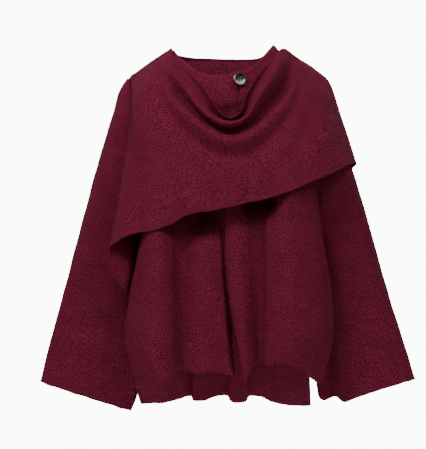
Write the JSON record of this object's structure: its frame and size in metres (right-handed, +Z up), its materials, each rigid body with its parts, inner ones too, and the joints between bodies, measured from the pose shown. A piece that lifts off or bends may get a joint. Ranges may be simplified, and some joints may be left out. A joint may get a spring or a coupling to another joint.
{
  "type": "scarf cardigan",
  "caption": "Wide burgundy knit cardigan, filled out and hollow: flared sleeves, fluted open front with slit sides, horn neck button, and a cowled scarf sweeping across to one shoulder.",
  "frame": {"origin": "in the neck opening, level with the base of the neck, midway between the shoulder points, where the wearer's shoulders and neck hold the garment", "axes": "+X towards the wearer's left, -Y the front, +Z up"},
  "size_m": [0.7173, 0.2661, 0.695],
  "materials": {
    "knit_scarf": "matte fine knit, burgundy",
    "knit_front_right": "matte fine knit, burgundy",
    "knit_front_left": "matte fine knit, burgundy",
    "knit_back": "matte fine knit, burgundy",
    "knit_sleeve_right": "matte fine knit, burgundy",
    "knit_sleeve_left": "matte fine knit, burgundy",
    "knit_neck_band": "matte narrow knitted trim, burgundy",
    "horn_button": "polished dark horn"
  },
  "bodies": {
    "root": {"back": "knit_back", "front_right": "knit_front_right", "front_left": "knit_front_left", "sleeve_right": "knit_sleeve_right", "sleeve_left": "knit_sleeve_left", "neck_band": "knit_neck_band", "scarf": "knit_scarf", "button": "horn_button"}
  },
  "joints": []
}
